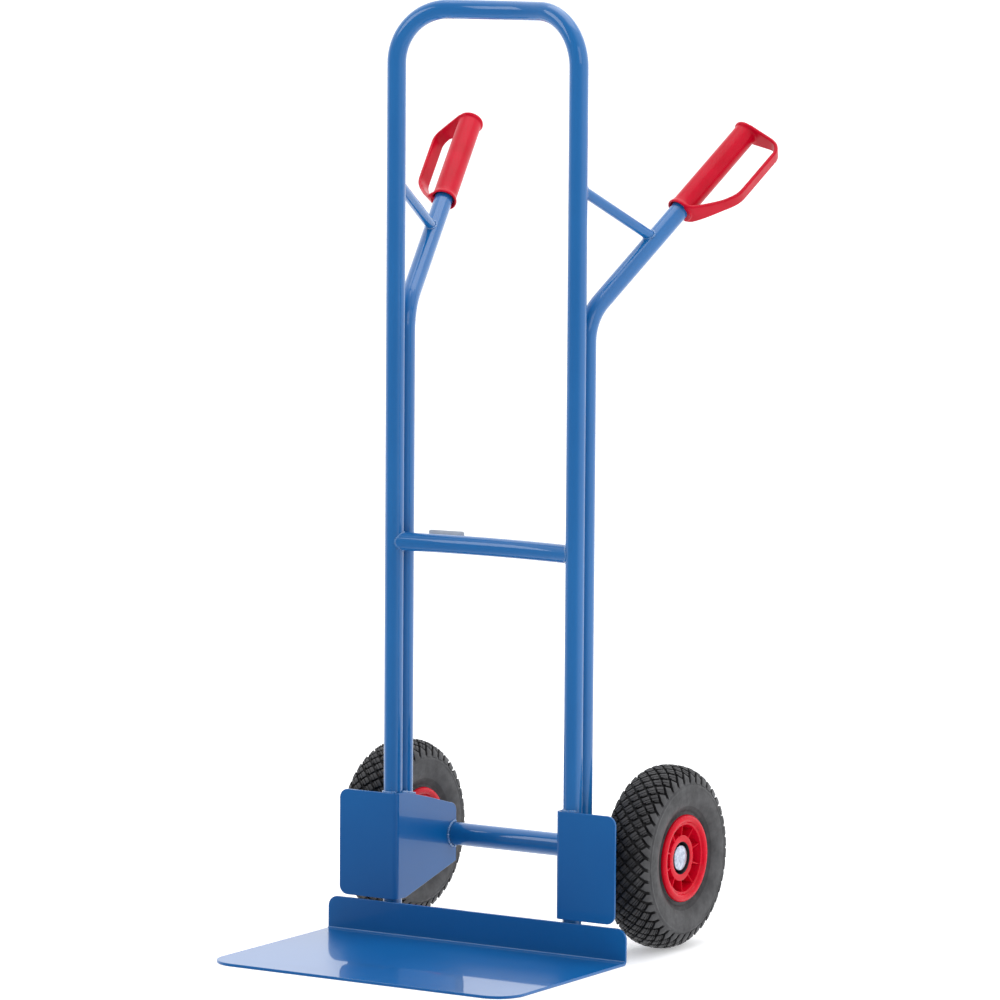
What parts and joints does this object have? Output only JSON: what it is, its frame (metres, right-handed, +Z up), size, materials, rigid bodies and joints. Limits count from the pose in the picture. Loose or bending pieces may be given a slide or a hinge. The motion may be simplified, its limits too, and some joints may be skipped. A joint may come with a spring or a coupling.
{
  "type": "hand truck",
  "caption": "Upright two-wheeled hand truck with a tall tubular hoop back, sloped handles with hand guards, a wide toe plate and pneumatic wheels.",
  "frame": {"origin": "on the floor under the middle of the truck, midway between the toe plate's front edge and the grip ends, and midway between the wheels", "axes": "+X across the truck to the right as seen from the load side, +Y back towards the handles, +Z up along the uprights; the toe plate points along -Y"},
  "size_m": [0.5676, 0.6576, 1.3102],
  "materials": {
    "blue_tube": "glossy powder coat",
    "blue_plate": "glossy powder coat",
    "red_grip": "semi-gloss moulded plastic",
    "red_rim": "glossy moulded plastic",
    "tyre_rubber": "matte grey-black rubber",
    "black_rubber": "smooth rubber",
    "zinc": "bright zinc plating",
    "steel": "ground steel",
    "valve_brass": "plain brass",
    "black_plastic": "matte",
    "label_plate": "blank satin aluminium"
  },
  "bodies": {
    "frame": {"main_hoop": "blue_tube", "left_handle_tube": "blue_tube", "right_handle_tube": "blue_tube", "left_handle_brace": "blue_tube", "right_handle_brace": "blue_tube", "crossbar": "blue_tube", "label_plate": "label_plate", "toe_plate": "blue_plate", "left_wheel_bracket": "blue_plate", "right_wheel_bracket": "blue_plate", "axle_tube": "blue_tube", "axle_rod": "steel", "left_grip": "red_grip", "right_grip": "red_grip", "left_inner_washer": "zinc", "right_inner_washer": "zinc", "left_outer_washer": "zinc", "right_outer_washer": "zinc", "left_axle_cap": "zinc", "right_axle_cap": "zinc"},
    "left_wheel": {"left_tyre": "tyre_rubber", "left_inner_tube": "black_rubber", "left_rim_outer": "red_rim", "left_rim_inner": "red_rim", "left_rim_bolts": "zinc", "left_valve_stem": "valve_brass", "left_valve_cap": "black_plastic", "left_hub_sleeve": "steel"},
    "right_wheel": {"right_tyre": "tyre_rubber", "right_inner_tube": "black_rubber", "right_rim_outer": "red_rim", "right_rim_inner": "red_rim", "right_rim_bolts": "zinc", "right_valve_stem": "valve_brass", "right_valve_cap": "black_plastic", "right_hub_sleeve": "steel"},
    "left_bearing": {"left_bearing_cage": "steel", "left_bearing_rollers": "steel"},
    "right_bearing": {"right_bearing_cage": "steel", "right_bearing_rollers": "steel"}
  },
  "joints": [
    {"name": "left_wheel_spin", "type": "hinge", "parent": "frame", "child": "left_wheel", "pos_m": [-0.2165, 0.134, 0.128], "axis": [1, 0, 0], "continuous": true},
    {"name": "right_wheel_spin", "type": "hinge", "parent": "frame", "child": "right_wheel", "pos_m": [0.2165, 0.134, 0.128], "axis": [1, 0, 0], "continuous": true},
    {"name": "left_bearing_spin", "type": "hinge", "parent": "frame", "child": "left_bearing", "pos_m": [-0.2165, 0.134, 0.128], "axis": [1, 0, 0], "continuous": true},
    {"name": "right_bearing_spin", "type": "hinge", "parent": "frame", "child": "right_bearing", "pos_m": [0.2165, 0.134, 0.128], "axis": [1, 0, 0], "continuous": true}
  ],
  "couplings": [
    {"joint": "left_bearing_spin", "follows": "left_wheel_spin", "ratio": 0.6},
    {"joint": "right_bearing_spin", "follows": "right_wheel_spin", "ratio": 0.6}
  ]
}
